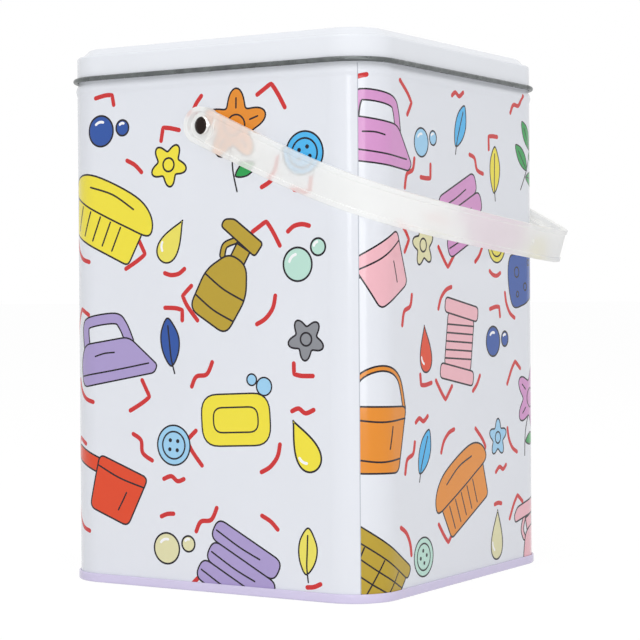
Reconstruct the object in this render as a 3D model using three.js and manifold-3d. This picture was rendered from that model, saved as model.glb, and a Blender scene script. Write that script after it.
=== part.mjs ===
// Laundry powder tin: a square tinplate drum with rounded corners, a slip lid
// with a curled edge, a double-seamed base and a moulded plastic bail handle
// that turns on two domed rivets. Millimetres, +Z up, the origin at the centre
// of the base panel's underside.
import * as THREE from 'three';
import { mergeVertices } from 'three/addons/utils/BufferGeometryUtils.js';
import Module from 'manifold-3d';

const wasm = await Module();
wasm.setup();

// Tinplate and the drum's outline, measured over the wall.
const sheet = 0.3;
const bodyWidth = 170;
const bodyDepth = 174.3;
const cornerRadius = 20.9;
const cornerSteps = 6;

// Straight steps that stand for the sheet's folds, bends and curls.
const foldSteps = 4;
const bendSteps = 3;
const slopeBendSteps = 2;
const curlSteps = 7;

// Heights above the standing rim.
const bodyHeight = 247.3;
const seamHeight = 4.1;
const panelRecess = 3.4;

// Double seam: five layers of sheet with a small gap between neighbours.
const seamGap = 0.05;
const seamCornerRadius = 0.6;
const panelCornerRadius = 1.2;

// Stop bead under the lid, the roll at the drum's mouth and the lapped side seam.
const beadHeight = 6.2;
const beadGap = 0.5;
const beadSwell = 0.6;
const beadSteps = 6;
const neckInset = 0.55;
const mouthRollRadius = 0.8;
const mouthRollSweep = 260;
const lapWidth = 4;
const lapStep = 0.2;
const lapAngle = -53;
const lapEndGap = 1;

// Lid.
const lidClearance = 0.3;
const lidSeatGap = 0.2;
const skirtLength = 11.2;
const shoulderRadius = 1.2;
const lidCurlRadius = 0.95;
const lidCurlSweep = 280;
const panelRise = 3.4;
const panelInset = 1.9;
const panelSlope = 4.2;
const panelBendRadius = 1;

// Bail handle, in its own plane: straight arms that end in a squarish bow.
const strapStandOff = 4.85;
const armsEndInside = 31.6;
const bowDepth = 77.2;
const bowSquareness = 2.5;
const armSteps = 3;
const bowSteps = 30;
const strapWidth = 16.8;
const strapWidthAtBow = 15.4;
const strapThickness = 3.4;
const rimWidth = 2.3;
const rimStandsProud = 0.6;
const skinThickness = 1.2;
const ribCount = 4;
const ribWidth = 0.9;
const bowLift = 9.6;
const armLean = 6.9;
const pivotDrop = 36.2;
const restTilt = 27.9;
const bossGap = 0.3;
const pocketDepth = 3.2;
const pocketReach = 6.4;

// Rivets and the washers that they are set over.
const shankRadius = 2;
const rivetHeadRadius = 4.1;
const rivetHeadHeight = 1.7;
const rivetHeadGap = 0.2;
const tailRadius = 3.2;
const tailHeight = 1.2;
const holeClearance = 0.15;
const boreClearance = 0.25;
const washerRadius = 5.5;
const washerThickness = 0.8;
const washerGap = 0.05;
const roundSteps = 24;
const domeSteps = 4;

// Materials, coloured as the photograph shows them.
const enamel = { color: 0xe6e8ee, roughness: 0.22, metalness: 0 };
const lavenderEnamel = { color: 0xd9cfee, roughness: 0.3, metalness: 0 };
const milkyPlastic = { color: 0xeeeeea, roughness: 0.35, metalness: 0 };
const polishedSteel = { color: 0xc8c8cc, roughness: 0.12, metalness: 1 };
const plainSteel = { color: 0xa4a6aa, roughness: 0.35, metalness: 1 };

const radians = THREE.MathUtils.degToRad;

// Merges shared corners and drops the triangles that shrink to a line on the axis.
function weld(geometry) {
  const plain = geometry.clone();
  plain.deleteAttribute('normal');
  plain.deleteAttribute('uv');
  const merged = mergeVertices(plain, 1e-5);
  const kept = [];
  const index = merged.index.array;
  for (let i = 0; i < index.length; i += 3) {
    const [a, b, c] = [index[i], index[i + 1], index[i + 2]];
    if (a !== b && b !== c && c !== a) kept.push(a, b, c);
  }
  merged.setIndex(kept);
  return merged;
}

function solidOf(geometry) {
  const welded = weld(geometry);
  const vertProperties = new Float32Array(welded.attributes.position.array);
  const triVerts = new Uint32Array(welded.index.array);
  return new wasm.Manifold(new wasm.Mesh({ numProp: 3, vertProperties, triVerts }));
}

function geometryOf(solid) {
  const { vertProperties, triVerts } = solid.getMesh();
  const geometry = new THREE.BufferGeometry();
  geometry.setAttribute('position', new THREE.BufferAttribute(vertProperties, 3));
  geometry.setIndex(new THREE.BufferAttribute(triVerts, 1));
  return geometry;
}

function namedMesh(name, geometry, look) {
  geometry.computeVertexNormals();
  const mesh = new THREE.Mesh(geometry, new THREE.MeshStandardMaterial(look));
  mesh.name = name;
  return mesh;
}

// Points on an arc about (x, z), between two angles in degrees.
function arc(x, z, radius, from, to, steps) {
  const points = [];
  for (let i = 0; i <= steps; i += 1) {
    const angle = radians(from + (to - from) * i / steps);
    points.push(new THREE.Vector2(x + radius * Math.cos(angle), z + radius * Math.sin(angle)));
  }
  return points;
}

// The closed section of a sheet, from its middle line and its gauge.
function sheetSection(middle) {
  const side = (sign) => middle.map((point, i) => {
    const last = middle[Math.max(i - 1, 0)];
    const next = middle[Math.min(i + 1, middle.length - 1)];
    const into = point.clone().sub(last).normalize();
    const out = next.clone().sub(point).normalize();
    const along = into.clone().add(out).normalize();
    const reach = sign * sheet / 2 / Math.max(along.dot(into), along.dot(out));
    return new THREE.Vector2(point.x + along.y * reach, point.y - along.x * reach);
  });
  const right = side(1);
  return [...right, ...side(-1).reverse(), right[0]];
}

// An offset inwards by the corner radius stands for the drum's centre line.
const centreLine = -cornerRadius;

// Carries a section round the drum. A point's x is its offset outwards from the
// wall's outer face: it is turned about the corners' centres, and one that is on
// the centre line stays there.
function carryRound(section) {
  const profile = section.map((point) => new THREE.Vector2(point.x + cornerRadius, point.y));
  const columnsPerCorner = cornerSteps + 1;
  const columns = 4 * columnsPerCorner;
  const geometry = new THREE.LatheGeometry(profile, columns);
  const place = geometry.attributes.position;
  for (let i = 0; i < place.count; i += 1) {
    const column = Math.floor(i / profile.length) % columns;
    const { x: radius, y: height } = profile[i % profile.length];
    const corner = Math.floor(column / columnsPerCorner);
    const angle = radians(90 * (corner + (column % columnsPerCorner) / cornerSteps));
    const centre = radius > 0 ? cornerCentre(corner) : new THREE.Vector2();
    place.setXYZ(i, centre.x + radius * Math.cos(angle), centre.y + radius * Math.sin(angle), height);
  }
  return geometry;
}

// Centre of a corner's arc, counted anticlockwise from the +X +Y corner.
function cornerCentre(corner) {
  const x = bodyWidth / 2 - cornerRadius;
  const y = bodyDepth / 2 - cornerRadius;
  return new THREE.Vector2(corner === 0 || corner === 3 ? x : -x, corner < 2 ? y : -y);
}

// Heights and half spans that follow from the sizes above.
const lidShoulder = bodyHeight + lidSeatGap + sheet;
const curlHeight = lidShoulder - skirtLength;
const beadTop = curlHeight - lidCurlRadius - sheet / 2 - beadGap;
const pivotHeight = bodyHeight - pivotDrop;
const handleHalf = bodyDepth / 2 + strapStandOff;
const armLength = bodyWidth / 2 - armsEndInside;

// Middle lines of the seam's layers, from the base's inner wall outwards.
const seamPitch = sheet + seamGap;
const wallLine = -sheet / 2;
const chuckLine = wallLine - seamPitch;
const endHookLine = wallLine + seamPitch;
const bodyHookLine = wallLine + 2 * seamPitch;
const seamLine = wallLine + 3 * seamPitch;
const lowerFold = sheet / 2 + 2 * seamPitch;
const upperFold = seamHeight - sheet / 2 - seamPitch;

function bodyShell() {
  const bead = [];
  for (let i = 0; i <= beadSteps; i += 1) {
    const share = i / beadSteps;
    const swell = beadSwell * Math.sin(Math.PI * share) ** 2 - neckInset * share ** 4;
    bead.push(new THREE.Vector2(wallLine + swell, beadTop - beadHeight * (1 - share)));
  }
  const mouth = bodyHeight - sheet / 2 - mouthRollRadius;
  const middle = [
    new THREE.Vector2(bodyHookLine, upperFold),
    ...arc(endHookLine, lowerFold, seamPitch, 0, -180, foldSteps),
    ...bead,
    ...arc(wallLine - neckInset - mouthRollRadius, mouth, mouthRollRadius, 0, mouthRollSweep, curlSteps),
  ];
  let solid = solidOf(carryRound(sheetSection(middle)));
  solid = solid.add(solidOf(sideLap()));
  const drill = new THREE.CylinderGeometry(
    shankRadius + holeClearance, shankRadius + holeClearance, 2 * bodyDepth, roundSteps);
  drill.translate(0, 0, pivotHeight);
  solid = solid.subtract(solidOf(drill));
  return namedMesh('body_shell', geometryOf(solid), enamel);
}

// The outer edge of the lapped side seam, on the rounded corner beside the front.
function sideLap() {
  const root = cornerRadius - 0.75 * sheet;
  const crest = cornerRadius + lapStep;
  const span = THREE.MathUtils.radToDeg(lapWidth / cornerRadius);
  const centre = cornerCentre(3);
  const outline = [
    ...arc(centre.x, centre.y, crest, lapAngle - span, lapAngle, bendSteps),
    ...arc(centre.x, centre.y, root, lapAngle, lapAngle - span, bendSteps),
  ];
  const foot = seamHeight + lapEndGap;
  const height = beadTop - beadHeight - lapEndGap - foot;
  const lap = new THREE.ExtrudeGeometry(new THREE.Shape(outline), { depth: height, bevelEnabled: false });
  return lap.translate(0, 0, foot);
}

function basePlate() {
  const panel = panelRecess + sheet / 2;
  const seamBend = sheet / 2 + seamCornerRadius;
  const middle = [
    new THREE.Vector2(endHookLine, lowerFold + seamGap),
    ...arc(bodyHookLine, upperFold, seamPitch, 180, 0, foldSteps),
    ...arc(seamLine - seamCornerRadius, seamBend, seamCornerRadius, 0, -90, bendSteps),
    ...arc(chuckLine + seamCornerRadius, seamBend, seamCornerRadius, -90, -180, bendSteps),
    ...arc(chuckLine - panelCornerRadius, panel - panelCornerRadius, panelCornerRadius, 0, 90, bendSteps),
    new THREE.Vector2(centreLine, panel),
  ];
  return namedMesh('base_plate', weld(carryRound(sheetSection(middle))), lavenderEnamel);
}

function slipLid() {
  const skirtLine = lidClearance - neckInset + sheet / 2;
  const shoulder = lidShoulder - sheet / 2;
  const slopeFoot = skirtLine - panelInset;
  const slopeHead = slopeFoot - panelSlope;
  const headBend = shoulder + panelRise - panelBendRadius;
  const footBend = shoulder + panelBendRadius;
  const slope = THREE.MathUtils.radToDeg(Math.atan2(panelRise, panelSlope));
  const middle = [
    new THREE.Vector2(centreLine, shoulder + panelRise),
    ...arc(slopeHead, headBend, panelBendRadius, 90, 90 - slope, slopeBendSteps),
    ...arc(slopeFoot, footBend, panelBendRadius, 270 - slope, 270, slopeBendSteps),
    ...arc(skirtLine - shoulderRadius, shoulder - shoulderRadius, shoulderRadius, 90, 0, bendSteps),
    ...arc(skirtLine + lidCurlRadius, curlHeight, lidCurlRadius, 180, 180 + lidCurlSweep, curlSteps),
  ];
  return namedMesh('lid', weld(carryRound(sheetSection(middle))), enamel);
}

// The strap's section: u across the width, v outwards, with a rim along each
// edge, a thin skin between them and ribs on the side that faces the drum.
function strapSection() {
  const edge = strapWidth / 2;
  const lip = edge - rimWidth;
  const face = strapThickness / 2;
  const skinOut = face - rimStandsProud;
  const skinIn = skinOut - skinThickness;
  const outline = [
    [-edge, -face], [-lip, -face], [-lip, skinIn],
  ];
  for (let i = 1; i <= ribCount; i += 1) {
    const middle = -lip + 2 * lip * i / (ribCount + 1);
    outline.push(
      [middle - ribWidth / 2, skinIn], [middle - ribWidth / 2, -face],
      [middle + ribWidth / 2, -face], [middle + ribWidth / 2, skinIn]);
  }
  outline.push(
    [lip, skinIn], [lip, -face], [edge, -face], [edge, face],
    [lip, face], [lip, skinOut], [-lip, skinOut], [-lip, face], [-edge, face]);
  return new THREE.Shape(outline.map(([u, v]) => new THREE.Vector2(u, v)));
}

const bailReach = armLength + bowDepth;
const bailSteps = 2 * armSteps + bowSteps;

// Middle of the strap in the bail's plane: x along the arms, y across the drum.
function bailPoint(step) {
  const turn = Math.PI * THREE.MathUtils.clamp((step - armSteps) / bowSteps, 0, 1);
  const power = 2 / bowSquareness;
  const across = -Math.sign(Math.cos(turn)) * Math.abs(Math.cos(turn)) ** power;
  const fromEnd = Math.min(step, bailSteps - step);
  const along = fromEnd < armSteps
    ? armLength * fromEnd / armSteps
    : armLength + bowDepth * Math.sin(turn) ** power;
  return new THREE.Vector2(along, handleHalf * across);
}

// Turns a point of the straight strap, at a step along it, to its place on the bail.
// The bow is curved up out of the plane, and the strap has taken a slight lean.
function placeOnBail(u, v, step) {
  const point = bailPoint(step);
  const ahead = bailPoint(Math.min(step + 1, bailSteps));
  const behind = bailPoint(Math.max(step - 1, 0));
  const along = ahead.sub(behind).normalize();
  const share = point.x / bailReach;
  const rise = bowLift * share ** 3 - armLean * share * point.y / (handleHalf);
  const slope = Math.atan(3 * bowLift * share ** 2 / bailReach);
  const width = THREE.MathUtils.lerp(strapWidth, strapWidthAtBow, share) / strapWidth;
  return new THREE.Vector3(
    point.x + v * along.y * Math.cos(slope) - u * width * Math.sin(slope),
    point.y - v * along.x,
    rise + v * along.y * Math.sin(slope) + u * width * Math.cos(slope));
}

function bailStrap() {
  const length = { depth: bailSteps, steps: bailSteps, bevelEnabled: false };
  const strap = new THREE.ExtrudeGeometry(strapSection(), length);
  const place = strap.attributes.position;
  for (let i = 0; i < place.count; i += 1) {
    const at = placeOnBail(place.getX(i), place.getY(i), Math.round(place.getZ(i)));
    place.setXYZ(i, at.x, at.y, at.z);
  }
  return solidOf(strap);
}

// A round bar along Y, between two distances from the drum's middle plane.
function barAlongY(radius, from, to, side) {
  const bar = new THREE.CylinderGeometry(radius, radius, to - from, roundSteps);
  return solidOf(bar.translate(0, side * (from + to) / 2, 0));
}

const handleOuter = handleHalf + strapThickness / 2;
const pocketFloor = handleOuter - pocketDepth;

function handle() {
  const bossFace = bodyDepth / 2 + bossGap;
  const pocketHalf = strapWidth / 2 - rimWidth;
  const pastOuter = handleOuter + pocketDepth;
  let solid = bailStrap();
  for (const side of [-1, 1]) {
    const pocket = new THREE.BoxGeometry(pocketReach, pastOuter - pocketFloor, 2 * pocketHalf);
    pocket.translate(pocketReach / 2, side * (pastOuter + pocketFloor) / 2, 0);
    solid = solid.add(barAlongY(strapWidth / 2, bossFace, handleOuter, side));
    solid = solid.subtract(solidOf(pocket));
    solid = solid.subtract(barAlongY(pocketHalf, pocketFloor, pastOuter, side));
    solid = solid.subtract(barAlongY(shankRadius + boreClearance, 0, pastOuter, side));
  }
  return namedMesh('handle', geometryOf(solid), milkyPlastic);
}

// Places along Y, counted from the drum's middle plane, of what the rivet holds.
const washerOuter = bodyDepth / 2 - sheet - washerGap;
const washerInner = washerOuter - washerThickness;
const tailOuter = washerInner - washerGap;
const headSeat = pocketFloor + rivetHeadGap;

function rivet(name) {
  const domeRadius = (rivetHeadRadius ** 2 + rivetHeadHeight ** 2) / (2 * rivetHeadHeight);
  const domeCentre = headSeat + rivetHeadHeight - domeRadius;
  const domeHalf = THREE.MathUtils.radToDeg(Math.asin(rivetHeadRadius / domeRadius));
  const dome = arc(0, domeCentre, domeRadius, 90 - domeHalf, 90, domeSteps);
  dome[domeSteps].x = 0;
  const profile = [
    new THREE.Vector2(0, tailOuter - tailHeight),
    new THREE.Vector2(tailRadius - tailHeight / 2, tailOuter - tailHeight),
    new THREE.Vector2(tailRadius, tailOuter - tailHeight / 2),
    new THREE.Vector2(tailRadius, tailOuter),
    new THREE.Vector2(shankRadius, tailOuter),
    new THREE.Vector2(shankRadius, headSeat),
    ...dome,
  ];
  return namedMesh(name, weld(new THREE.LatheGeometry(profile, roundSteps)), polishedSteel);
}

function washer(name) {
  const hole = shankRadius + holeClearance;
  const profile = [
    new THREE.Vector2(hole, washerInner),
    new THREE.Vector2(washerRadius, washerInner),
    new THREE.Vector2(washerRadius, washerOuter),
    new THREE.Vector2(hole, washerOuter),
    new THREE.Vector2(hole, washerInner),
  ];
  return namedMesh(name, weld(new THREE.LatheGeometry(profile, roundSteps)), plainSteel);
}

// The pivot line runs along Y through both rivets. Each side's rivet is built
// pointing to +Y, and the front one is turned half round.
const pivot = new THREE.Group();
pivot.position.z = pivotHeight;

const tiltedHandle = new THREE.Group();
tiltedHandle.rotation.y = radians(restTilt);
tiltedHandle.add(handle());

const frontSide = new THREE.Group();
frontSide.rotation.z = Math.PI;
frontSide.add(rivet('rivet_front'), washer('washer_front'));

pivot.add(tiltedHandle, frontSide, rivet('rivet_back'), washer('washer_back'));

const group = new THREE.Group();
group.position.z = -panelRecess;
group.add(bodyShell(), basePlate(), slipLid(), pivot);

export default group;
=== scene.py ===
"""Looks of the laundry powder tin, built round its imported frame.

Sizes are in millimetres until a mesh is made, +Z is up, and heights are counted
from the standing rim unless a name says otherwise.
"""

import math

import bmesh
import bpy
import numpy as np
from mathutils import Matrix, Vector
from mathutils.geometry import delaunay_2d_cdt


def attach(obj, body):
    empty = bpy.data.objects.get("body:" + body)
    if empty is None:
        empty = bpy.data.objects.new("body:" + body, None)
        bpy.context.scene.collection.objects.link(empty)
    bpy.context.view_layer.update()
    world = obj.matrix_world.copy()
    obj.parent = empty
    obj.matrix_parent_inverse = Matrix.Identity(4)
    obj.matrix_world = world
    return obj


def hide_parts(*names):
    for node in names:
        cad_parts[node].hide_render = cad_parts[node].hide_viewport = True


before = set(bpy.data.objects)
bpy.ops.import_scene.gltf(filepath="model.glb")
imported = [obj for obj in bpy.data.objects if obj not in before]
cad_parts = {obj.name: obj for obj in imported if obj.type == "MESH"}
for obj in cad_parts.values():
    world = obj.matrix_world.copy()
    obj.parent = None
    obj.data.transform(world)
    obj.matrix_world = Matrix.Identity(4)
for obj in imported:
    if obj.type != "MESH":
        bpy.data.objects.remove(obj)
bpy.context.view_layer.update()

MM = 0.001

# Tinplate and the drum's outline, measured over the wall.
SHEET = 0.3
BODY_WIDTH = 170
BODY_DEPTH = 174.3
CORNER_RADIUS = 20.9
BODY_HEIGHT = 247.3
SEAM_HEIGHT = 4.1
PANEL_RECESS = 3.4
SEAM_GAP = 0.05
SEAM_CORNER_RADIUS = 0.6
PANEL_CORNER_RADIUS = 1.2

# Stop bead, neck, mouth roll and lapped side seam.
BEAD_HEIGHT = 6.2
BEAD_TOP = 235
BEAD_SWELL = 0.6
NECK_INSET = 0.55
MOUTH_ROLL_RADIUS = 0.8
MOUTH_ROLL_SWEEP = 260
LAP_STEP = 0.2
LAP_RESIDUE = 0.02
LAP_WIDTH = 4
LAP_RAMP = 2.5
LAP_FADE = 3
LAP_CLEAR = 1
LAP_ANGLE = -53
LAP_MARGIN = 0.4

# Lid.
LID_CLEARANCE = 0.3
LID_SHOULDER = 247.8
LID_CURL_HEIGHT = 236.6
LID_CURL_RADIUS = 0.95
LID_CURL_SWEEP = 280
SHOULDER_RADIUS = 1.2
PANEL_RISE = 3.4
PANEL_INSET = 1.9
PANEL_SLOPE = 4.2
PANEL_BEND_RADIUS = 1

# Bail handle, in its own plane.
ARM_LENGTH = 53.4
BOW_DEPTH = 77.2
BOW_SQUARENESS = 2.5
STRAP_STAND_OFF = 4.85
STRAP_WIDTH = 16.8
STRAP_WIDTH_AT_BOW = 15.4
STRAP_THICKNESS = 3.4
RIM_WIDTH = 2.3
RIM_STANDS_PROUD = 0.6
SKIN_THICKNESS = 1.2
RIB_COUNT = 4
RIB_WIDTH = 0.9
BOW_LIFT = 9.6
ARM_LEAN = 6.9
PIVOT_HEIGHT = 211.1
REST_TILT = 27.9
BOSS_GAP = 0.3
POCKET_DEPTH = 3.2
POCKET_REACH = 6.4
POCKET_CORNER_RADIUS = 0.6
MOULDED_EDGE = 0.4
GATE_RADIUS = 1.3
GATE_RISE = 0.25
GATE_ROOT = 1
GATE_DIMPLE_RADIUS = 0.4
GATE_DIMPLE_FLOOR = 0.1

# Rivets and washers.
SHANK_RADIUS = 2
HOLE_CLEARANCE = 0.15
BORE_CLEARANCE = 0.25
RIVET_HEAD_RADIUS = 4.1
RIVET_HEAD_HEIGHT = 1.7
RIVET_HEAD_GAP = 0.2
TAIL_RADIUS = 3.2
TAIL_HEIGHT = 1.2
TAIL_EDGE = 0.6
TAIL_LEAD = 0.1
WASHER_RADIUS = 5.5
WASHER_THICKNESS = 0.8
WASHER_GAP = 0.05
WASHER_EDGE = 0.15

# Fineness of the surfaces.
CORNER_STEPS = 24
BEND_STEPS = 8
CURL_STEPS = 28
BEAD_STEPS = 20
ARM_STEPS = 14
BOW_STEPS = 110
ROUND_STEPS = 72
HOLE_STEPS = 32
EASE_STEPS = 4
MOULDED_STEPS = 3
HEAD_STEPS = 15
SHARP_ANGLE = 40
NORMAL_WEIGHT = 90

# How far a cutter reaches past what it cuts, and the step for a slope of the wall's offset.
CUT_PAST = 1.5
NUDGE = 0.01

# Bends that stop short of a quarter turn, in degrees, and the radius at which a turned tail closes.
POCKET_FLOOR_START, POCKET_LIP_END = -67.08, 105.5
TAIL_BEND_START, HEAD_BEND_END = -78.54, 88.85
TAIL_MIDDLE = 0.3

WALL_LINE = -SHEET / 2
SEAM_PITCH = SHEET + SEAM_GAP
LOWER_FOLD = SHEET / 2 + 2 * SEAM_PITCH
UPPER_FOLD = SEAM_HEIGHT - SHEET / 2 - SEAM_PITCH
WALL_FOOT = LOWER_FOLD + 1.4
STITCHED_STRIP = 0.4
INNER_MARGIN = 1
BEAD_FOOT = BEAD_TOP - BEAD_HEIGHT
HANDLE_HALF = BODY_DEPTH / 2 + STRAP_STAND_OFF
HANDLE_OUTER = HANDLE_HALF + STRAP_THICKNESS / 2
POCKET_FLOOR = HANDLE_OUTER - POCKET_DEPTH
BAIL_REACH = ARM_LENGTH + BOW_DEPTH


def wall_knots():
    """Where the wall turns, going anticlockwise from the lap: distance, arc centre, direction."""
    x, y = BODY_WIDTH / 2 - CORNER_RADIUS, BODY_DEPTH / 2 - CORNER_RADIUS
    centres = np.repeat([(x, -y), (x, y), (-x, y), (-x, -y), (x, -y)], 2, axis=0)
    headings = np.radians([LAP_ANGLE, 0, 0, 90, 90, 180, 180, 270, 270, 360 + LAP_ANGLE])
    steps = CORNER_RADIUS * np.diff(headings) + np.linalg.norm(np.diff(centres, axis=0), axis=1)
    return np.column_stack([np.concatenate([[0], np.cumsum(steps)]), centres, headings])


KNOTS = wall_knots()
PERIMETER = KNOTS[-1, 0]


def round_wall(distance, offset, height):
    """Places and outward directions, at a distance round the wall and an offset from its face."""
    distance = np.asarray(distance, float)
    x, y, heading = (np.interp(distance, KNOTS[:, 0], KNOTS[:, i]) for i in (1, 2, 3))
    out = np.stack([np.cos(heading), np.sin(heading)], axis=-1)
    reach = CORNER_RADIUS + np.asarray(offset, float)
    flat = np.stack([x, y], axis=-1) + out * reach[..., None]
    up = np.broadcast_to(np.asarray(height, float) - PANEL_RECESS, distance.shape)
    return np.concatenate([flat, up[..., None]], axis=-1), out


def corner_columns():
    """Distances round the wall at which a surface gets a column, closer at the corners."""
    stops = [0.0]
    for (start, *_, a), (end, *_, b) in zip(KNOTS[:-1], KNOTS[1:]):
        steps = max(1, round(CORNER_STEPS * (b - a) / (math.pi / 2)))
        stops += [start + (end - start) * i / steps for i in range(1, steps + 1)]
    return np.array(stops)


COLUMNS = corner_columns()


class Surface:
    """Points with normals of their own, and faces with a finish each, gathered from patches."""

    def __init__(self):
        self.places, self.normals, self.faces = [], [], []

    def points(self, places, normals):
        first = len(self.places)
        self.places += [tuple(p) for p in places]
        self.normals += [tuple(n) for n in normals]
        return np.arange(first, len(self.places))

    def add(self, faces, finish, flat=False):
        self.faces += [(face, finish, flat) for face in faces]

    def weld(self):
        """Joins the points that share a place, and drops faces that have no area then."""
        keys, kept, place_of = {}, [], []
        for i, place in enumerate(self.places):
            key = tuple(round(c, 4) for c in place)
            if key not in keys:
                keys[key] = len(kept)
                kept.append(i)
            place_of.append(keys[key])
        self.places = [self.places[i] for i in kept]
        self.normals = [self.normals[i] for i in kept]
        welded = [(list(dict.fromkeys(place_of[i] for i in face)), *looks) for face, *looks in self.faces]
        self.faces = [face for face in welded if len(face[0]) > 2]

    def build(self, name, finishes):
        self.weld()
        faces, chosen, flats = zip(*self.faces)
        mesh = bpy.data.meshes.new(name)
        mesh.from_pydata([Vector(p) * MM for p in self.places], [], faces)
        for finish in finishes.values():
            mesh.materials.append(finish)
        names = list(finishes)
        mesh.polygons.foreach_set("material_index", [names.index(finish) for finish in chosen])
        mesh.polygons.foreach_set("use_smooth", [True] * len(faces))
        face_outwards(mesh)
        split = []
        for polygon, flat in zip(mesh.polygons, flats):
            split += [polygon.normal if flat else self.normals[corner] for corner in polygon.vertices]
        mesh.normals_split_custom_set([Vector(n).normalized() for n in split])
        return place_in_scene(name, mesh)


def face_outwards(mesh):
    work = bmesh.new()
    work.from_mesh(mesh)
    bmesh.ops.recalc_face_normals(work, faces=work.faces)
    work.to_mesh(mesh)
    work.free()


def place_in_scene(name, mesh):
    mesh.update()
    thing = bpy.data.objects.new(name, mesh)
    bpy.context.scene.collection.objects.link(thing)
    return thing


def arc(x, z, radius, start, end, steps):
    """Points on an arc about (x, z), between two angles in degrees."""
    turn = np.radians(np.linspace(start, end, steps + 1))
    return np.stack([x + radius * np.cos(turn), z + radius * np.sin(turn)], axis=-1)


def unit(vectors):
    return vectors / np.linalg.norm(vectors, axis=1)[:, None]


def right_of(along):
    return np.stack([along[:, 1], -along[:, 0]], axis=-1)


def mitre(into, out):
    """At corners between unit steps: the way to the right, and the share by which an offset shrinks."""
    along = unit(into + out)
    return right_of(along), np.sum(along * into, axis=1)[:, None]


def sheet_sides(middle):
    """The right and the left face of a sheet, each as points and normals, from its middle line."""
    middle = np.asarray(middle, float)
    steps = unit(np.diff(middle, axis=0))
    across, shrunk = mitre(np.vstack([steps[:1], steps]), np.vstack([steps, steps[-1:]]))
    half = SHEET / 2 * across / shrunk
    return (middle + half, across), (middle - half, -across)


def backwards(face):
    return tuple(part[::-1] for part in face)


def add_rows(surface, faces, finish_of):
    """Carries a section, made of faces of sheets, round the drum. Returns its rows of vertices.

    A point on the axis stays there.
    """
    points, normals = (np.vstack(part) for part in zip(*faces))
    rows = []
    for (offset, height), (out_part, up_part) in zip(points, normals):
        if offset <= -CORNER_RADIUS + 1e-6:
            centre = [(0, 0, height - PANEL_RECESS)]
            row = surface.points(centre, [(0, 0, math.copysign(1, up_part))])
            row = np.repeat(row, len(COLUMNS))
        else:
            places, out = round_wall(COLUMNS, np.full(len(COLUMNS), offset), height)
            up = np.full((len(COLUMNS), 1), up_part)
            row = surface.points(places, np.hstack([out * out_part, up]))
        rows.append(row)
    for i, (low, high) in enumerate(zip(rows[:-1], rows[1:])):
        quads = np.stack([low[:-1], low[1:], high[1:], high[:-1]], axis=-1)
        surface.add(quads, finish_of(i))
    return rows


def stitch(surface, first, second, finish, flat=False):
    """Fills between two rows of (position along, vertex), each in rising order."""
    i = j = 0
    while (i, j) != (len(first) - 1, len(second) - 1):
        a, b = first[i], second[j]
        if j == len(second) - 1 or (i < len(first) - 1 and first[i + 1][0] <= second[j + 1][0]):
            i += 1
            tip = first[i]
        else:
            j += 1
            tip = second[j]
        surface.add([(a[1], tip[1], b[1])], finish, flat)


def inside(points, outline):
    """Which points lie inside a closed outline."""
    hit = np.zeros(len(points), bool)
    x, y = points[:, 0], points[:, 1]
    for (ax, ay), (bx, by) in zip(outline, np.roll(outline, -1, axis=0)):
        if ay != by:
            crosses = (ay > y) != (by > y)
            hit ^= crosses & (x < (bx - ax) * (y - ay) / (by - ay) + ax)
    return hit


def cut_wall(low, high, levels, layers, base, holes):
    """Cuts the unrolled wall along its columns, levels, prints and holes.

    Returns the places, the triangles and the triangles' colours.
    """
    points, edges = [], []

    def add_line(line, closed=True):
        first, count = len(points), len(line)
        points.extend(map(tuple, line))
        links = count if closed else count - 1
        edges.extend((first + i, first + (i + 1) % count) for i in range(links))

    add_line([(0, low), (PERIMETER, low), (PERIMETER, high), (0, high)])
    for column in COLUMNS[1:-1]:
        add_line([(column, low), (column, high)], closed=False)
    for level in levels:
        add_line([(0, level), (PERIMETER, level)], closed=False)
    for outline in [outline for outline, _ in layers] + holes:
        add_line(outline)
    cut = delaunay_2d_cdt([Vector(p) for p in points], edges, [], 0, 1e-6)
    flat = np.array([tuple(p) for p in cut[0]])
    triangles = np.array(cut[2])
    middles = flat[triangles].mean(axis=1)
    kept = np.all((middles > (0, low)) & (middles < (PERIMETER, high)), axis=1)
    for outline in holes:
        kept &= ~inside(middles, outline)
    triangles, middles = triangles[kept], middles[kept]
    colours = np.full(len(triangles), base, dtype=object)
    for outline, colour in layers:
        near = np.all((middles > outline.min(0)) & (middles < outline.max(0)), axis=1)
        near[near] = inside(middles[near], outline)
        colours[near] = colour
    return np.clip(flat, (0, low), (PERIMETER, high)), triangles, colours


def wall_patch(surface, low, high, levels, offset_of, side, layers, base, holes):
    """Bends the cut wall round the drum at its offset, with side 1 facing out and -1 facing in.

    Returns the four borders as rows of (position along, vertex), and the rings of the holes.
    """
    flat, triangles, colours = cut_wall(low, high, levels, layers, base, holes)
    used = np.unique(triangles)
    distance, height = flat[used].T
    places, out = round_wall(distance, offset_of(distance, height), height)
    run, rise = (
        (offset_of(distance + x, height + z) - offset_of(distance - x, height - z)) / (2 * NUDGE)
        for x, z in ((NUDGE, 0), (0, NUDGE))
    )
    normals = np.hstack([out + right_of(out) * run[:, None], -rise[:, None]]) * side
    vertex = dict(zip(used, surface.points(places, normals)))
    for triangle, colour in zip(triangles, colours):
        surface.add([[vertex[i] for i in triangle]], colour)

    def border(axis, value):
        on = [i for i in used if abs(flat[i, axis] - value) < 1e-4]
        return sorted((flat[i, 1 - axis], vertex[i]) for i in on)

    def nearest(point):
        return vertex[used[np.argmin(np.sum((flat[used] - point) ** 2, axis=1))]]

    rings = [[nearest(point) for point in outline] for outline in holes]
    return border(1, low), border(1, high), border(0, 0), border(0, PERIMETER), rings


def smooth_step(value):
    share = np.clip(value, 0, 1)
    return share * share * (3 - 2 * share)


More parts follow.
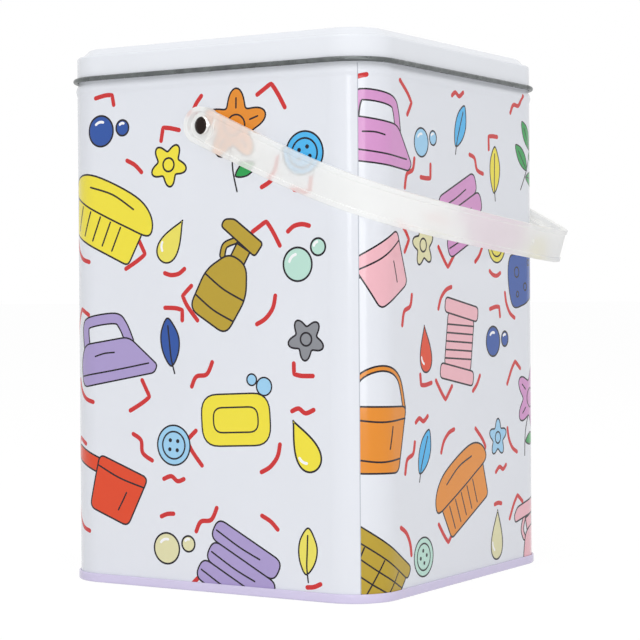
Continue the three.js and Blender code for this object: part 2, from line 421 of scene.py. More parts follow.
def bead_offset(height):
    """How far the stop bead and the neck stand off the wall's line at a height."""
    share = np.clip((np.asarray(height, float) - BEAD_FOOT) / BEAD_HEIGHT, 0, 1)
    return BEAD_SWELL * np.sin(np.pi * share) ** 2 - NECK_INSET * share**4


def lap_offset(distance, height):
    """The side seam's outer end: a raised strip that ramps up to a sharp edge."""
    ramp = smooth_step((distance - (PERIMETER - LAP_WIDTH - LAP_RAMP)) / LAP_RAMP)
    fade = smooth_step((height - SEAM_HEIGHT - LAP_CLEAR) / LAP_FADE)
    fade *= smooth_step((BEAD_FOOT - LAP_CLEAR - height) / LAP_FADE)
    return ramp * (LAP_RESIDUE + (LAP_STEP - LAP_RESIDUE) * fade)


def polar(radius_of, steps):
    turn = np.linspace(0, 2 * np.pi, steps, endpoint=False)
    return radius_of(turn)[:, None] * np.stack([np.cos(turn), np.sin(turn)], axis=-1)


def circle(radius, centre=(0, 0), steps=40):
    return centre + polar(lambda turn: np.full(steps, radius), steps)


def smooth_curve(points, steps=6, closed=True):
    """A curve through the points, by Catmull and Rom's rule."""
    points = np.asarray(points, float)
    before, after = (points[-1:], points[:2]) if closed else (points[:1], points[-1:])
    padded = np.vstack([before, points, after])
    made = []
    for p0, p1, p2, p3 in zip(padded, padded[1:], padded[2:], padded[3:]):
        slope, bend, twist = p2 - p0, 2 * p0 - 5 * p1 + 4 * p2 - p3, 3 * p1 - p0 - 3 * p2 + p3
        made += [p1 + 0.5 * (slope * t + bend * t**2 + twist * t**3) for t in np.arange(steps) / steps]
    if not closed:
        made.append(points[-1])
    return np.array(made)


def rounded(outline, radius, steps=4):
    """A closed outline with each corner turned into a curve as large as its sides allow."""
    outline = np.asarray(outline, float)
    made = []
    for i, corner in enumerate(outline):
        to_last, to_next = outline[i - 1] - corner, outline[(i + 1) % len(outline)] - corner
        lengths = np.linalg.norm(to_last), np.linalg.norm(to_next)
        cut = min(radius, 0.45 * lengths[0], 0.45 * lengths[1])
        start = corner + to_last * cut / lengths[0]
        end = corner + to_next * cut / lengths[1]
        for t in np.arange(steps + 1) / steps:
            made.append((1 - t) ** 2 * start + 2 * t * (1 - t) * corner + t * t * end)
    return np.array(made)


def grown(outline, by):
    """A closed anticlockwise outline moved outwards."""
    steps = unit(np.roll(outline, -1, axis=0) - outline)
    across, shrunk = mitre(np.roll(steps, 1, axis=0), steps)
    return outline + across * by / np.maximum(shrunk, 0.5)


def stroke(points, width, colour):
    """A brush stroke along a curve, with round ends."""
    path = smooth_curve(points, closed=False)
    along = unit(np.gradient(path, axis=0)) * width / 2
    side = right_of(along)
    turn = np.linspace(0, np.pi, 7)[1:-1, None]
    tip, tail = (
        path[end] + sign * (along[end] * np.sin(turn) + side[end] * np.cos(turn))
        for end, sign in ((-1, 1), (0, -1))
    )
    return [(np.vstack([path + side, tip, (path - side)[::-1], tail]), colour)]


INK_WIDTH = 0.95
HIGHLIGHT_STROKE = 1.3
RED_STROKE = 2.1


class Motif:
    """A drawing in millimetres about its own middle, as closed outlines with a colour each."""

    def __init__(self, draw, colour):
        self.layers, self.colour = [], colour
        draw(self)

    def shape(self, outline, colour=None):
        """A filled shape with an ink line round it."""
        self.layers.append((grown(outline, INK_WIDTH / 2), "ink"))
        self.layers.append((grown(outline, -INK_WIDTH / 2), colour or self.colour))

    def blob(self, corners, radius, steps=6):
        self.shape(rounded(corners, radius, steps))

    def box(self, width, height, radius, centre=(0, 0)):
        x, y = width / 2, height / 2
        self.blob(np.array([(-x, -y), (x, -y), (x, y), (-x, y)]) + centre, radius)

    def disc(self, radius, centre=(0, 0), steps=40, colour=None):
        self.shape(circle(radius, centre, steps), colour)

    def bar(self, points, width):
        self.layers += stroke(points, width + INK_WIDTH, "ink")
        self.layers += stroke(points, width - INK_WIDTH, self.colour)

    def ink(self, *points):
        self.layers += stroke(points, INK_WIDTH, "ink")

    def highlight(self, centre, radius, start, end):
        self.layers += stroke(arc(*centre, radius, start, end, 4), HIGHLIGHT_STROKE, "white")

    def add(self, other, turn, scale, centre):
        self.layers += placed(other.layers, turn, scale, centre)


def placed(layers, turn, scale, centre):
    turn = math.radians(turn)
    spin = scale * np.array([[math.cos(turn), math.sin(turn)], [-math.sin(turn), math.cos(turn)]])
    return [(outline @ spin + centre, colour) for outline, colour in layers]


def basket(m):
    m.blob([(-19, -21), (19, -21), (25, 14), (-25, 14)], 5)
    for y, half in ((4, 22.4), (-4, 21), (-12, 19.7)):
        m.ink((-half, y), (0, y - 1.2), (half, y))
    for x in (-13, 0, 13):
        m.ink((x * 1.15, 10), (x, -4), (x * 0.86, -20))
    m.box(54, 8, 3.5, (0, 15))


def bottle(m):
    m.box(9, 9, 1, (0, 10))
    m.bar([(-6, 15), (-10, 10), (-9, 5)], 3)
    m.blob([(-13, -28), (13, -28), (14, -6), (6, 8), (-6, 8), (-14, -6)], 6)
    m.blob([(-17, 17), (8, 14), (9, 22), (-12, 24), (-17, 21)], 2, 4)
    m.ink((-13.5, -8), (0, -9.2), (13.5, -8))
    m.ink((-13, -20), (0, -21.2), (13, -20))


def bucket(m):
    m.bar([(-19, 8), (-13, 23), (0, 28), (13, 23), (19, 8)], 2.6)
    m.blob([(-14, -24), (14, -24), (21, 9), (-21, 9)], 4)
    m.ink((-20, 3), (0, 1.4), (20, 3))
    m.ink((-15, -17), (0, -18.4), (15, -17))
    m.ink((8, -1), (7, -7), (6, -12))


def iron(m):
    m.bar([(-18, 5), (-17, 17), (-12, 20), (6, 19), (11, 14), (14, 4)], 6)
    m.blob([(-26, -16), (28, -16), (31, -12), (14, 7), (-20, 8), (-26, -2)], 5)
    m.ink((-25, -9.5), (0, -10), (25, -10))
    m.ink((-12, 0), (-5, 0.6), (2, 0))


def towels(m):
    for y, x in ((-14, 0), (-2, 1.5), (10, -1)):
        m.box(46, 12, 5.5, (x, y))
        m.ink((x - 21, y - 0.4), (x - 4, y - 1), (x + 10, y - 0.2))


def brush(m):
    m.blob([(-22, -20), (23, -20), (25, 0), (-25, 0)], 3, 4)
    for x in range(-17, 18, 7):
        m.ink((x, -4), (x * 0.98, -10), (x * 0.96, -17))
    m.shape(smooth_curve([(-29, -1), (-14, -2.4), (14, -2.4), (29, -1),
                          (27, 8), (14, 14), (-14, 14), (-27, 8)]))
    m.ink((-15, 7.5), (0, 9.4), (15, 7.5))


def soap(m):
    m.box(46, 29, 11)
    m.box(30, 14, 6)
    m.disc(5, (20, 18), 30, "light_blue")
    m.disc(3.2, (12, 22), 24, "light_blue")


def blade(m):
    m.shape(smooth_curve([(0, 0), (8, -4), (17, -3), (24, 3), (16, 6), (7, 5)], 5))
    m.ink((2, 0.4), (10, 1.2), (18, 1.8))


def sprig(m):
    m.ink((-4, -27), (0, -10), (1, 8), (0, 20))
    leaf = Motif(blade, m.colour)
    for y, turn, scale in ((-17, 12, 0.9), (-12, 150, 0.9), (-3, 30, 0.95), (2, 138, 0.85), (10, 80, 0.85)):
        m.add(leaf, turn, scale, (0, y))


def stem_leaf(m):
    m.shape(smooth_curve([(0, 0), (7, -3), (15, 0), (7, 4)], 6))


def petals(m):
    m.shape(polar(lambda a: 19 * (0.78 + 0.22 * np.cos(5 * a)), 100))
    for turn in np.arange(5) * 2 * np.pi / 5:
        way = np.array([np.cos(turn), np.sin(turn)])
        m.ink(way * 9, way * 12, way * 14)
    m.disc(5.5)


def flower(m):
    m.ink((0, 0), (-2, -14), (1, -28))
    m.add(Motif(stem_leaf, "green"), 25, 1, (0, -20))
    m.add(Motif(petals, m.colour), 18, 1, (0, 6))


def scoop(m):
    m.blob([(-31, 3), (-6, 3), (-6, 11), (-31, 11)], 3.8)
    m.blob([(-7, -17), (21, -17), (25, 13), (-10, 13)], 4)
    m.ink((-9, 7), (7, 5.8), (24, 7))
    m.ink((14, 0), (13, -6), (12, -11))


def peg(m):
    m.blob([(-5, 26), (-8, 16), (-5.5, 6), (-7.5, -9), (-6, -27), (-2, -27), (-1, -4),
            (1, -4), (2, -27), (6, -27), (7.5, -9), (5.5, 6), (8, 16), (5, 26)], 3, 5)
    m.box(20, 6, 2.8, (0, 8))
    for x in (-5, 0, 5):
        m.ink((x, 5.6), (x, 8), (x, 10.4))


def spool(m):
    m.box(30, 28, 3)
    for y in (-9, -4.5, 0, 4.5, 9):
        m.ink((-14.5, y - 1.5), (0, y), (14.5, y + 1.5))
    for y in (-17.5, 17.5):
        m.box(38, 8, 3.2, (0, y))


def sponge(m):
    m.shape(smooth_curve([(-24, -13), (-10, -16), (4, -14.5), (20, -16), (26, -4),
                          (24, 11), (10, 15), (-5, 14), (-20, 16), (-26, 4)]))
    for x, y, radius in ((-14, 5, 3), (-5, -6, 2.2), (3, 7, 1.8), (13, -7, 2.8),
                         (-16, -8, 1.6), (17, 6, 2), (6, -1, 1.4)):
        m.disc(radius, (x, y), 22)


def button(m):
    m.disc(10.5, steps=48)
    m.disc(7.2)
    for centre in ((-2.4, -2.4), (2.4, -2.4), (2.4, 2.4), (-2.4, 2.4)):
        m.layers.append((circle(1.1, centre, 14), "ink"))


def drop(m):
    turn = np.linspace(0, 2 * np.pi, 48, endpoint=False) + np.pi / 48
    m.shape(np.stack([-9 * np.sin(turn) * np.abs(np.sin(turn / 2)) ** 1.4, 12.5 * np.cos(turn)], axis=-1))
    m.highlight((0, -3.5), 4.8, 185, 240)


def bubbles(m):
    for radius, centre in ((7.5, (-2.5, -2)), (3.8, (8, 6))):
        m.disc(radius, centre)
        m.highlight(centre, radius * 0.6, 105, 165)


def lying_leaf(m):
    m.shape(smooth_curve([(-12, 0), (-6, -4.6), (2, -5.8), (9, -3), (13, 1), (7, 5), (0, 5.8), (-7, 4)]))
    m.ink((-16, -1.6), (-8, 0), (0, 0.4), (9, 0.8))


def small_leaf(m):
    m.add(Motif(lying_leaf, m.colour), 78, 0.92, (0, 0))


def blossom(m):
    m.shape(polar(lambda a: 10.5 * (0.8 + 0.2 * np.cos(5 * a)), 80))
    m.disc(3.2, steps=24)


LARGE_MOTIFS = (basket, bottle, iron, sprig, towels, bucket, flower, brush, peg, soap, scoop, sponge, spool)
SMALL_MOTIFS = (button, drop, bubbles, small_leaf, blossom)
LARGE_COLOURS = ("mustard", "vermilion", "royal", "orange", "lavender", "green", "pink", "yellow", "sky",
                 "mauve")
SMALL_COLOURS = ("mint", "yellow", "royal", "cream", "sky", "grey", "lemon", "light_blue", "vermilion")
MOTIF_COLUMNS = 9
MOTIF_PHASE = 0.14

# Each kind's rows, with their start and rise in millimetres, and its scale. Large motifs stay below
# LARGE_HIGHEST, and every second column has an extra small one at FILLER_HEIGHT.
LARGE_ROWS, SMALL_ROWS = 4, 5
LARGE_LOWEST, SMALL_LOWEST = 14, 22
LARGE_RISE, SMALL_RISE = 64, 44
LARGE_HIGHEST, FILLER_HEIGHT = 209, 212
LARGE_SCALE, SMALL_SCALE = 0.85, 0.92

# How each kind is scattered: a step and a spread, in millimetres, degrees or scale.
LARGE_SCATTER = {"across": (0.618, 5), "up": (0.382, 5), "turn": (0.471, 64), "scale": (0.733, 0.14)}
SMALL_SCATTER = {"across": (0.471, 3), "up": (0.236, 12), "turn": (0.29, 70), "scale": (0.533, 0.16)}

# The red marks: their distances from a motif's middle, the small ones' size, and their shapes.
LARGE_MARK_REACH, SMALL_MARK_REACH = 26.5, 15
SMALL_MARK_SCALE = 0.7
MARK_SCATTER = (0.618, 26)
MARK_SHAPES = (
    [(-8, -2), (-3, 0.6), (3, 0.8), (8, -1)],
    [(-7, -6), (-6.4, -1), (-6, 1.8), (-5, 2.6), (0, 2.4), (7, 1.4)],
    [(-5, -0.6), (0, 0.4), (5, 0)],
    [(-8, 0.4), (-3, 2), (2, -1), (8, 1)],
    [(-8, 0.6), (0, 1.8), (5, 1.6), (6, 0.6), (7, -5)],
)


def scattered(number, step, spread):
    """A value about 0 that jumps about evenly, within a spread, as the number counts up."""
    return spread * ((number * step) % 1 - 0.5)


def scattered_place(number, column, height, scatter):
    """A place on the unrolled wall near a column and a height."""
    x = (column + MOTIF_PHASE) * PERIMETER / MOTIF_COLUMNS
    return np.array([x + scattered(number, *scatter["across"]), height + scattered(number, *scatter["up"])])


def large_places():
    """Middles of the large motifs, in columns that step up and down."""
    for number in range(LARGE_ROWS * MOTIF_COLUMNS):
        column, row = divmod(number, LARGE_ROWS)
        height = LARGE_LOWEST + LARGE_RISE * (row + 0.5 * (column % 2))
        centre = scattered_place(number, column, height, LARGE_SCATTER)
        if centre[1] < LARGE_HIGHEST:
            yield number, centre


def small_places():
    """Middles of the small motifs, between those columns and over every second one."""
    for column in range(MOTIF_COLUMNS):
        for row in range(SMALL_ROWS):
            number = SMALL_ROWS * column + row
            height = SMALL_LOWEST + SMALL_RISE * row
            yield number, scattered_place(number, column + 0.5, height, SMALL_SCATTER)
        if column % 2:
            x = (column + MOTIF_PHASE) * PERIMETER / MOTIF_COLUMNS
            yield column, np.array([x, FILLER_HEIGHT])


def red_mark(number, centre, reach, direction, scale):
    """A red brush mark that stands beside a motif, bent round it."""
    direction += scattered(number, *MARK_SCATTER)
    away = np.array([math.cos(math.radians(direction)), math.sin(math.radians(direction))])
    shape = MARK_SHAPES[number % len(MARK_SHAPES)]
    mark = stroke(np.array(shape) * scale, RED_STROKE, "red")
    return placed(mark, direction - 90, 1, centre + away * reach)


def scattered_motif(number, draw, colour, scatter, scale, centre):
    turn = scattered(number, *scatter["turn"])
    scale += scattered(number, *scatter["scale"])
    return placed(Motif(draw, colour).layers, turn, scale, centre)


def printed_layers():
    """The whole print on the unrolled wall, in the order in which it is laid down."""
    marks, motifs = [], []
    for number, centre in large_places():
        draw = LARGE_MOTIFS[(5 * number) % len(LARGE_MOTIFS)]
        colour = LARGE_COLOURS[(3 * number + number // LARGE_ROWS) % len(LARGE_COLOURS)]
        motifs += scattered_motif(number, draw, colour, LARGE_SCATTER, LARGE_SCALE, centre)
        for corner in range(number, number + 3):
            marks += red_mark(corner, centre, LARGE_MARK_REACH, 45 + 90 * (corner % 4), 1)
    for number, centre in small_places():
        draw = SMALL_MOTIFS[(3 * number + number // SMALL_ROWS) % len(SMALL_MOTIFS)]
        colour = SMALL_COLOURS[(4 * number + number // SMALL_ROWS) % len(SMALL_COLOURS)]
        motifs += scattered_motif(number, draw, colour, SMALL_SCATTER, SMALL_SCALE, centre)
        over_or_under = 90 if number % 2 else 270
        marks += red_mark(number + 2, centre, SMALL_MARK_REACH, over_or_under, SMALL_MARK_SCALE)
    margin = np.array([(0, 0), (LAP_MARGIN, 0), (LAP_MARGIN, BODY_HEIGHT), (0, BODY_HEIGHT)])
    return marks + motifs + [(margin, "margin")]


def rivet_holes():
    """Rivet holes on the unrolled wall, in the middle of its back and front faces."""
    back = (KNOTS[3, 0] + KNOTS[4, 0]) / 2
    front = (KNOTS[7, 0] + KNOTS[8, 0]) / 2
    return [circle(SHANK_RADIUS + HOLE_CLEARANCE, (x, PIVOT_HEIGHT), HOLE_STEPS) for x in (back, front)]


def body_hook_line():
    """Middle of the body hook, folded up inside the double seam, and of the wall's foot."""
    end_hook, body_hook = WALL_LINE + SEAM_PITCH, WALL_LINE + 2 * SEAM_PITCH
    return np.vstack([
        [(body_hook, UPPER_FOLD)],
        arc(end_hook, LOWER_FOLD, SEAM_PITCH, 0, -180, BEND_STEPS),
        [(WALL_LINE, WALL_FOOT - STITCHED_STRIP)],
    ])


def mouth_line():
    """Middle of the mouth, from the neck up and round its roll."""
    neck = WALL_LINE - NECK_INSET
    top = BODY_HEIGHT - SHEET / 2 - MOUTH_ROLL_RADIUS
    return np.vstack([
        [(neck, BEAD_TOP + STITCHED_STRIP)],
        arc(neck - MOUTH_ROLL_RADIUS, top, MOUTH_ROLL_RADIUS, 0, MOUTH_ROLL_SWEEP, CURL_STEPS),
    ])


def body_shell(finishes):
    surface = Surface()
    levels = BEAD_FOOT + BEAD_HEIGHT * np.arange(1, BEAD_STEPS) / BEAD_STEPS
    holes = rivet_holes()
    outer = wall_patch(surface, WALL_FOOT, BEAD_TOP, levels,
                       lambda s, z: bead_offset(z) + lap_offset(s, z), 1,
                       printed_layers(), "base", holes)
    inner = wall_patch(surface, WALL_FOOT + INNER_MARGIN, BEAD_FOOT - INNER_MARGIN, [],
                       lambda s, z: np.full(np.shape(s), -SHEET), -1, [], "tin", holes)

    mouth_out, mouth_in = sheet_sides(mouth_line())
    hook_out, hook_in = sheet_sides(body_hook_line())
    _, bead_in = sheet_sides(np.stack([WALL_LINE + bead_offset(levels), levels], axis=-1))
    top = add_rows(surface, [mouth_out, backwards(mouth_in), backwards(bead_in)],
                   lambda i: "base" if i < 1 + CURL_STEPS // 2 else "tin")
    foot = add_rows(surface, [backwards(hook_in), hook_out], lambda i: "tin")

    for border, row, finish in (
        (outer[1], top[0], "base"), (inner[1], top[-1], "tin"),
        (inner[0], foot[0], "tin"), (outer[0], foot[-1], "base"),
    ):
        stitch(surface, border, list(zip(COLUMNS, row)), finish)
    stitch(surface, outer[2], outer[3], "base", flat=True)
    for border, row in ((outer[0], foot[-1]), (outer[1], top[0])):
        surface.add([(border[0][1], border[-1][1], row[0])], "base", flat=True)
    for ring_out, ring_in in zip(outer[4], inner[4]):
        for i in range(HOLE_STEPS):
            j = (i + 1) % HOLE_STEPS
            surface.add([(ring_out[i], ring_out[j], ring_in[j], ring_in[i])], "tin", flat=True)
    return surface.build("printed_body_shell", finishes)


def base_plate(finishes):
    surface = Surface()
    panel = PANEL_RECESS + SHEET / 2
    seam_bend = SHEET / 2 + SEAM_CORNER_RADIUS
    chuck, end_hook = WALL_LINE - SEAM_PITCH, WALL_LINE + SEAM_PITCH
    body_hook, seam = WALL_LINE + 2 * SEAM_PITCH, WALL_LINE + 3 * SEAM_PITCH
    panel_bend = chuck - PANEL_CORNER_RADIUS, panel - PANEL_CORNER_RADIUS
    middle = np.vstack([
        [(end_hook, LOWER_FOLD + SEAM_GAP)],
        arc(body_hook, UPPER_FOLD, SEAM_PITCH, 180, 0, BEND_STEPS),
        arc(seam - SEAM_CORNER_RADIUS, seam_bend, SEAM_CORNER_RADIUS, 0, -90, BEND_STEPS),
        arc(chuck + SEAM_CORNER_RADIUS, seam_bend, SEAM_CORNER_RADIUS, -90, -180, BEND_STEPS),
        arc(*panel_bend, PANEL_CORNER_RADIUS, 0, 90, BEND_STEPS),
        [(-CORNER_RADIUS, panel)],
    ])
    hidden, shown = sheet_sides(middle)
    add_rows(surface, [backwards(hidden), shown], lambda i: "tin" if i < len(middle) else "lavender")
    return surface.build("seamed_base", finishes)


def slip_lid(finishes):
    surface = Surface()
    skirt = LID_CLEARANCE - NECK_INSET + SHEET / 2
    shoulder = LID_SHOULDER - SHEET / 2
    panel = shoulder + PANEL_RISE
    slope_foot = skirt - PANEL_INSET
    slope_head = slope_foot - PANEL_SLOPE
    slope = math.degrees(math.atan2(PANEL_RISE, PANEL_SLOPE))
    bend = PANEL_BEND_RADIUS
    before_curl = np.vstack([
        [(-CORNER_RADIUS, panel)],
        arc(slope_head, panel - bend, bend, 90, 90 - slope, BEND_STEPS),
        arc(slope_foot, shoulder + bend, bend, 270 - slope, 270, BEND_STEPS),
        arc(skirt - SHOULDER_RADIUS, shoulder - SHOULDER_RADIUS, SHOULDER_RADIUS, 90, 0, BEND_STEPS),
    ])
    curl_end = 180 + LID_CURL_SWEEP
    curl = arc(skirt + LID_CURL_RADIUS, LID_CURL_HEIGHT, LID_CURL_RADIUS, 180, curl_end, CURL_STEPS)
    middle = np.vstack([before_curl, curl])
    outer_face, inner_face = sheet_sides(middle)[::-1]

    def finish_of(i):
        if i <= len(before_curl):
            return "base"
        return "curl" if i < 2 * len(middle) - len(before_curl) else "tin"

    add_rows(surface, [outer_face, backwards(inner_face)], finish_of)
    return surface.build("slip_lid", finishes)


def strap_section():
    """The strap's section with its moulded edges eased: u across the width, v outwards."""
    edge = STRAP_WIDTH / 2
    lip = edge - RIM_WIDTH
    face = STRAP_THICKNESS / 2
    skin_out = face - RIM_STANDS_PROUD
    skin_in = skin_out - SKIN_THICKNESS
    outline = [(-edge, -face), (-lip, -face), (-lip, skin_in)]
    for i in range(1, RIB_COUNT + 1):
        middle = -lip + 2 * lip * i / (RIB_COUNT + 1)
        left, right = middle - RIB_WIDTH / 2, middle + RIB_WIDTH / 2
        outline += [(left, skin_in), (left, -face), (right, -face), (right, skin_in)]
    outline += [(lip, skin_in), (lip, -face), (edge, -face), (edge, face),
                (lip, face), (lip, skin_out), (-lip, skin_out), (-lip, face), (-edge, face)]
    return rounded(outline, MOULDED_EDGE, MOULDED_STEPS)


def bail_line():
    """Middle of the strap in the bail's plane, arm to arm."""
    power = 2 / BOW_SQUARENESS
    arm = np.linspace(0, ARM_LENGTH, ARM_STEPS, endpoint=False)
    turn = np.linspace(0, np.pi, BOW_STEPS + 1)
    along = ARM_LENGTH + BOW_DEPTH * np.abs(np.sin(turn)) ** power
    across = -np.sign(np.cos(turn)) * np.abs(np.cos(turn)) ** power
    along = np.concatenate([arm, along, arm[::-1]])
    across = np.concatenate([np.full(ARM_STEPS, -1), across, np.full(ARM_STEPS, 1)])
    return np.stack([along, HANDLE_HALF * across], axis=-1)


def place_on_bail(u, v, point, along):
    """A point of the strap's section at one place along the bail, as part.mjs bends it."""
    share = point[0] / BAIL_REACH
    rise = BOW_LIFT * share**3 - ARM_LEAN * share * point[1] / HANDLE_HALF
    slope = math.atan(3 * BOW_LIFT * share**2 / BAIL_REACH)
    width = 1 + (STRAP_WIDTH_AT_BOW / STRAP_WIDTH - 1) * share
    return (
        point[0] + v * along[1] * math.cos(slope) - u * width * math.sin(slope),
        point[1] - v * along[0],
        rise + v * along[1] * math.sin(slope) + u * width * math.cos(slope),
    )


def lofted(name, loops):
    """A closed solid through loops that have as many points each."""
    places, count = np.concatenate(loops), len(loops[0])
    faces = [tuple(range(count)), tuple(range(len(places) - count, len(places)))]
    for first in range(0, len(places) - count, count):
        for i in range(count):
            j = (i + 1) % count
            faces.append((first + i, first + j, first + count + j, first + count + i))
    mesh = bpy.data.meshes.new(name)
    mesh.from_pydata([Vector(p) * MM for p in places], [], faces)
    face_outwards(mesh)
    return mesh


def strap_mesh():
    section, line = strap_section(), bail_line()
    padded = np.vstack([line[:1], line, line[-1:]])
    stations = zip(line, unit(padded[2:] - padded[:-2]))
    return lofted("strap", [[place_on_bail(u, v, *station) for u, v in section] for station in stations])


def turned_along_y(name, profile, side):
    """A solid turned about Y from a profile of (radius, distance from the middle plane)."""
    turn = np.linspace(0, 2 * np.pi, ROUND_STEPS, endpoint=False)
    return lofted(name, [
        np.stack([r * np.cos(turn), np.full(ROUND_STEPS, side * y), r * np.sin(turn)], axis=-1)
        for r, y in profile
    ])


def eased_bar(radius, low, high, ease):
    """Profile of a round bar with eased edges."""
    return np.vstack([
        arc(radius - ease, low + ease, ease, -90, 0, EASE_STEPS),
        arc(radius - ease, high - ease, ease, 0, 90, EASE_STEPS),
    ])


def pocket_cutter(name, side):
    """The pocket's hollow: round at the strap's end, square towards the arm, eased at floor and lip."""
    ease, corner = MOULDED_EDGE, POCKET_CORNER_RADIUS
    swell_and_height = np.vstack([
        [(-ease, 0)],
        arc(-ease, ease, ease, POCKET_FLOOR_START, 0, MOULDED_STEPS),
        arc(ease, POCKET_DEPTH - ease, ease, 180, POCKET_LIP_END, MOULDED_STEPS),
        [(3 * ease, POCKET_DEPTH + CUT_PAST)],
    ])
    loops = []
    for swell, up in swell_and_height:
        reach = STRAP_WIDTH / 2 - RIM_WIDTH + swell
        end = POCKET_REACH + swell
        outline = np.vstack([
            arc(0, 0, reach, 90, 270, ROUND_STEPS // 3),
            arc(end - corner, corner - reach, corner, -90, 0, EASE_STEPS),
            arc(end - corner, reach - corner, corner, 0, 90, EASE_STEPS),
        ])
        loops.append([(x, side * (POCKET_FLOOR + up), z) for x, z in outline])
    return lofted(name, loops)


def gate_mark():
    """The small round scar where the strap's mould was filled, in the middle of its outer face."""
    rim = GATE_RADIUS - GATE_RISE
    profile = [(GATE_RADIUS, -GATE_ROOT), (GATE_RADIUS, 0), (rim, GATE_RISE),
               (GATE_DIMPLE_RADIUS, GATE_RISE), (GATE_DIMPLE_RADIUS / 2, GATE_DIMPLE_FLOOR)]
    line = bail_line()
    middle = line[len(line) // 2]
    outer = STRAP_THICKNESS / 2 - RIM_STANDS_PROUD
    return lofted("gate_mark", [
        [place_on_bail(u, outer + up, middle + (0, across), (0, 1)) for u, across in circle(radius, steps=24)]
        for radius, up in profile
    ])


def joined(thing, mesh, operation):
    """Joins or cuts one solid with another, and leaves the result in the first."""
    other = place_in_scene(mesh.name, mesh)
    step = thing.modifiers.new(operation, "BOOLEAN")
    step.operation = operation
    step.solver = "MANIFOLD"
    step.object = other
    apply_modifiers(thing)
    bpy.data.objects.remove(other)


def apply_modifiers(thing):
    bpy.context.view_layer.update()
    shaped = thing.evaluated_get(bpy.context.evaluated_depsgraph_get())
    mesh = bpy.data.meshes.new_from_object(shaped)
    thing.modifiers.clear()
    thing.data = mesh


def settled(thing, tilt, finish):
    """Takes a piece from about its pivot to its place, with its finish and smooth faces.

    Its normals are weighted, so that flats stay flat beside eased edges.
    """
    lift = Matrix.Translation((0, 0, (PIVOT_HEIGHT - PANEL_RECESS) * MM))
    mesh = thing.data
    mesh.transform(lift @ Matrix.Rotation(math.radians(tilt), 4, "Y"))
    mesh.materials.clear()
    mesh.materials.append(finish)
    mesh.polygons.foreach_set("use_smooth", [True] * len(mesh.polygons))
    mesh.set_sharp_from_angle(angle=math.radians(SHARP_ANGLE))
    weigh = thing.modifiers.new("weighted_normals", "WEIGHTED_NORMAL")
    weigh.keep_sharp = True
    weigh.weight = NORMAL_WEIGHT
    apply_modifiers(thing)
    return thing


def bail_handle(finish):
    handle = place_in_scene("bail_handle", strap_mesh())
    wall = BODY_DEPTH / 2
    for side in (-1, 1):
        boss = eased_bar(STRAP_WIDTH / 2, wall + BOSS_GAP, HANDLE_OUTER, MOULDED_EDGE)
        bore = [(SHANK_RADIUS + BORE_CLEARANCE, y) for y in (wall - CUT_PAST, HANDLE_OUTER + CUT_PAST)]
        joined(handle, turned_along_y("boss", boss, side), "UNION")
        joined(handle, pocket_cutter("pocket", side), "DIFFERENCE")
        joined(handle, turned_along_y("bore", bore, side), "DIFFERENCE")
    joined(handle, gate_mark(), "UNION")
    return settled(handle, REST_TILT, finish)


def rivet(name, side, finish):
    seat = POCKET_FLOOR + RIVET_HEAD_GAP
    tail = BODY_DEPTH / 2 - SHEET - WASHER_THICKNESS - 2 * WASHER_GAP
    tail_end = tail - TAIL_HEIGHT
    dome = (RIVET_HEAD_RADIUS**2 + RIVET_HEAD_HEIGHT**2) / (2 * RIVET_HEAD_HEIGHT)
    head_edge = math.degrees(math.acos(RIVET_HEAD_RADIUS / dome))
    head = arc(0, seat + RIVET_HEAD_HEIGHT - dome, dome, head_edge, HEAD_BEND_END, HEAD_STEPS)
    profile = np.vstack([
        [(TAIL_MIDDLE, tail_end), (TAIL_RADIUS - TAIL_EDGE - TAIL_LEAD, tail_end)],
        arc(TAIL_RADIUS - TAIL_EDGE, tail_end + TAIL_EDGE, TAIL_EDGE, TAIL_BEND_START, 0, EASE_STEPS),
        [(TAIL_RADIUS, tail), (SHANK_RADIUS, tail), (SHANK_RADIUS, seat), (RIVET_HEAD_RADIUS, seat)],
        head[1:],
    ])
    return settled(place_in_scene(name, turned_along_y(name, profile, side)), 0, finish)


def washer(name, side, finish):
    outer = BODY_DEPTH / 2 - SHEET - WASHER_GAP
    inner = outer - WASHER_THICKNESS
    hole = [(SHANK_RADIUS + HOLE_CLEARANCE, y) for y in (inner - CUT_PAST, outer + CUT_PAST)]
    ring = eased_bar(WASHER_RADIUS, inner, outer, WASHER_EDGE)
    thing = place_in_scene(name, turned_along_y(name, ring, side))
    joined(thing, turned_along_y("hole", hole, side), "DIFFERENCE")
    return settled(thing, 0, finish)


def shown_colour(red, green, blue):
    """A colour as a screen shows it, from 0 to 255, turned to light."""
    light = []
    for part in (red, green, blue):
        value = part / 255
        light.append(value / 12.92 if value <= 0.04045 else ((value + 0.055) / 1.055) ** 2.4)
    return (*light, 1)


PALETTE = {
    "base": (229, 232, 239),
    "ink": (26, 20, 30),
    "white": (248, 248, 250),
    "red": (206, 44, 46),
    "vermilion": (226, 72, 34),
    "orange": (230, 142, 42),
    "mustard": (186, 158, 48),
    "yellow": (242, 226, 62),
    "lemon": (236, 224, 96),
    "cream": (226, 222, 176),
    "green": (38, 160, 78),
    "mint": (188, 226, 212),
    "light_blue": (158, 208, 240),
    "sky": (78, 184, 240),
    "royal": (44, 84, 164),
    "lavender": (172, 156, 206),
    "mauve": (214, 150, 204),
    "pink": (240, 184, 194),
    "grey": (140, 142, 148),
    "margin": (184, 188, 198),
}
LID_WHITE = (234, 237, 243)
SEAM_LAVENDER = (214, 206, 234)
MILK_WHITE = (251, 251, 248)
TIN_GREY = (216, 217, 219)
CURL_GREY = (108, 112, 112)
WASHER_GREY = (158, 160, 163)
# The rivet's dark colour is a painted reflection of a dark room, and its bright colour is a painted
# highlight.
RIVET_PAINTED_DARK, RIVET_PAINTED_HIGHLIGHT = (46, 38, 36), (236, 234, 232)

# The span in which most of a noise lies.
NOISE_LOW, NOISE_HIGH = 0.3, 0.7
